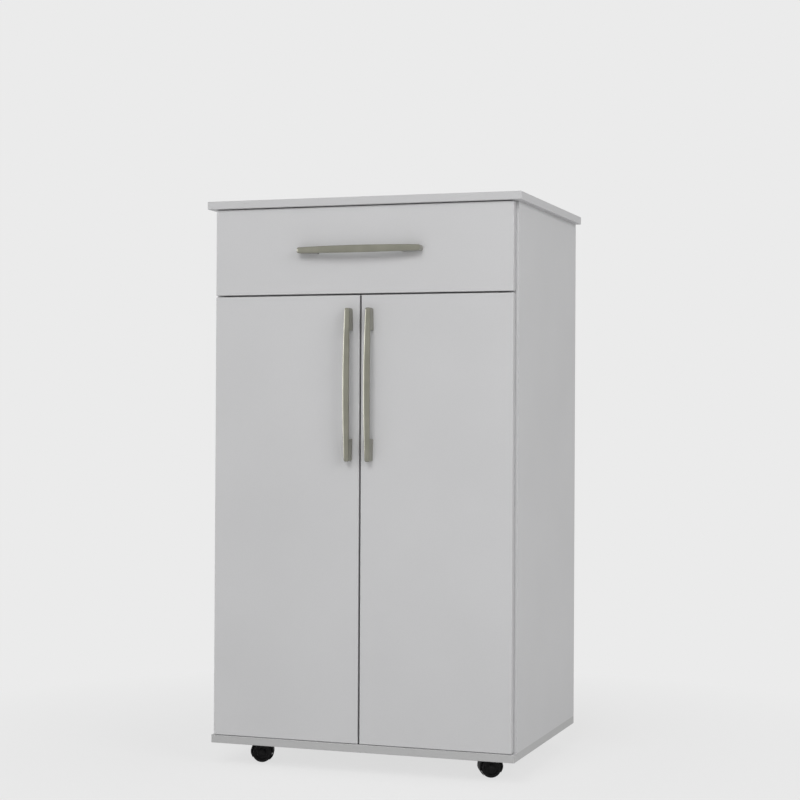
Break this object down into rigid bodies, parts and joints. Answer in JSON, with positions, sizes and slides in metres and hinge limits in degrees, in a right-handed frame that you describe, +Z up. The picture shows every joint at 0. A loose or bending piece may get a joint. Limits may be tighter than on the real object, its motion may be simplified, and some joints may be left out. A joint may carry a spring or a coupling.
{
  "type": "storage cabinet",
  "caption": "Tall narrow kitchen storage cabinet with a drawer over a pair of doors, bow handles, an inner shelf and swivel casters.",
  "frame": {"origin": "on the floor, at the centre of the footprint of the whole object, handles included", "axes": "+X to the right seen from the front, +Y to the back (the doors face -Y), +Z up"},
  "size_m": [0.62, 0.484, 1.077],
  "materials": {
    "board": "matt light grey melamine foil on particle board",
    "back_board": "matt light grey lacquered hardboard",
    "drawer_board": "matt light grey foil on particle board",
    "handle_paint": "satin metallic grey lacquer",
    "hinge_steel": "nickel-plated pressed steel",
    "rail_paint": "white powder-coated sheet steel",
    "fastener_steel": "zinc-plated steel",
    "roller_plastic": "white nylon",
    "caster_plastic": "black moulded nylon",
    "wheel_plastic": "black nylon, slightly worn tread",
    "caster_steel": "zinc-plated steel"
  },
  "bodies": {
    "carcass": {"back_panel": "back_board", "base_board": "board", "cam_fittings": "fastener_steel", "caster_plate_front_left": "caster_steel", "caster_plate_front_right": "caster_steel", "caster_plate_rear_left": "caster_steel", "caster_plate_rear_right": "caster_steel", "caster_screws": "fastener_steel", "divider_board": "board", "hinge_arm_lower_left": "hinge_steel", "hinge_arm_lower_right": "hinge_steel", "hinge_arm_upper_left": "hinge_steel", "hinge_arm_upper_right": "hinge_steel", "hinge_plate_lower_left": "hinge_steel", "hinge_plate_lower_right": "hinge_steel", "hinge_plate_screws": "fastener_steel", "hinge_plate_upper_left": "hinge_steel", "hinge_plate_upper_right": "hinge_steel", "runner_rail_left": "rail_paint", "runner_rail_right": "rail_paint", "runner_screws": "fastener_steel", "shelf": "board", "shelf_pins": "fastener_steel", "side_panel_left": "board", "side_panel_right": "board", "top_board": "board"},
    "drawer": {"drawer_front": "board", "drawer_side_left": "drawer_board", "drawer_side_right": "drawer_board", "drawer_back": "drawer_board", "drawer_bottom": "back_board", "drawer_rail_left": "rail_paint", "drawer_rail_right": "rail_paint", "drawer_handle": "handle_paint", "drawer_handle_screws": "fastener_steel", "drawer_fittings": "fastener_steel"},
    "front_rollers": {"runner_rollers_front": "roller_plastic"},
    "rear_rollers": {"runner_rollers_rear": "roller_plastic"},
    "door_left_leaf": {"door_left": "board", "door_handle_left": "handle_paint", "door_handle_screws_left": "fastener_steel", "hinge_cup_lower_left": "hinge_steel", "hinge_cup_upper_left": "hinge_steel"},
    "door_right_leaf": {"door_right": "board", "door_handle_right": "handle_paint", "door_handle_screws_right": "fastener_steel", "hinge_cup_lower_right": "hinge_steel", "hinge_cup_upper_right": "hinge_steel"},
    "caster_front_left": {"caster_housing_front_left": "caster_plastic"},
    "wheels_front_left": {"caster_wheels_front_left": "wheel_plastic", "caster_axle_front_left": "caster_steel"},
    "caster_front_right": {"caster_housing_front_right": "caster_plastic"},
    "wheels_front_right": {"caster_wheels_front_right": "wheel_plastic", "caster_axle_front_right": "caster_steel"},
    "caster_rear_left": {"caster_housing_rear_left": "caster_plastic"},
    "wheels_rear_left": {"caster_wheels_rear_left": "wheel_plastic", "caster_axle_rear_left": "caster_steel"},
    "caster_rear_right": {"caster_housing_rear_right": "caster_plastic"},
    "wheels_rear_right": {"caster_wheels_rear_right": "wheel_plastic", "caster_axle_rear_right": "caster_steel"}
  },
  "joints": [
    {"name": "drawer_slide", "type": "slide", "parent": "carcass", "child": "drawer", "axis": [0, -1, 0], "range_m": [0, 0.28]},
    {"name": "front_rollers_spin", "type": "hinge", "parent": "carcass", "child": "front_rollers", "pos_m": [0, -0.184, 0.925], "axis": [1, 0, 0], "continuous": true},
    {"name": "rear_rollers_spin", "type": "hinge", "parent": "drawer", "child": "rear_rollers", "pos_m": [0, 0.187, 0.925], "axis": [1, 0, 0], "continuous": true},
    {"name": "door_left_hinge", "type": "hinge", "parent": "carcass", "child": "door_left_leaf", "pos_m": [-0.287, -0.2098, 0.47775], "axis": [0, 0, -1], "range_deg": [0, 95]},
    {"name": "door_right_hinge", "type": "hinge", "parent": "carcass", "child": "door_right_leaf", "pos_m": [0.287, -0.2098, 0.47775], "axis": [0, 0, 1], "range_deg": [0, 95]},
    {"name": "caster_front_left_swivel", "type": "hinge", "parent": "carcass", "child": "caster_front_left", "pos_m": [-0.216, -0.128, 0.0418], "axis": [0, 0, 1], "continuous": true},
    {"name": "wheels_front_left_spin", "type": "hinge", "parent": "caster_front_left", "child": "wheels_front_left", "pos_m": [-0.22822, -0.13245, 0.019], "axis": [0.342, -0.9397, 0], "continuous": true},
    {"name": "caster_front_right_swivel", "type": "hinge", "parent": "carcass", "child": "caster_front_right", "pos_m": [0.216, -0.128, 0.0418], "axis": [0, 0, 1], "continuous": true},
    {"name": "wheels_front_right_spin", "type": "hinge", "parent": "caster_front_right", "child": "wheels_front_right", "pos_m": [0.22788, -0.12271, 0.019], "axis": [-0.4067, 0.9135, 0], "continuous": true},
    {"name": "caster_rear_left_swivel", "type": "hinge", "parent": "carcass", "child": "caster_rear_left", "pos_m": [-0.216, 0.167, 0.0418], "axis": [0, 0, 1], "continuous": true},
    {"name": "wheels_rear_left_spin", "type": "hinge", "parent": "caster_rear_left", "child": "wheels_rear_left", "pos_m": [-0.20576, 0.175, 0.019], "axis": [-0.6157, 0.788, 0], "continuous": true},
    {"name": "caster_rear_right_swivel", "type": "hinge", "parent": "carcass", "child": "caster_rear_right", "pos_m": [0.216, 0.167, 0.0418], "axis": [0, 0, 1], "continuous": true},
    {"name": "wheels_rear_right_spin", "type": "hinge", "parent": "caster_rear_right", "child": "wheels_rear_right", "pos_m": [0.20463, 0.1733, 0.019], "axis": [-0.4848, -0.8746, 0], "continuous": true}
  ]
}
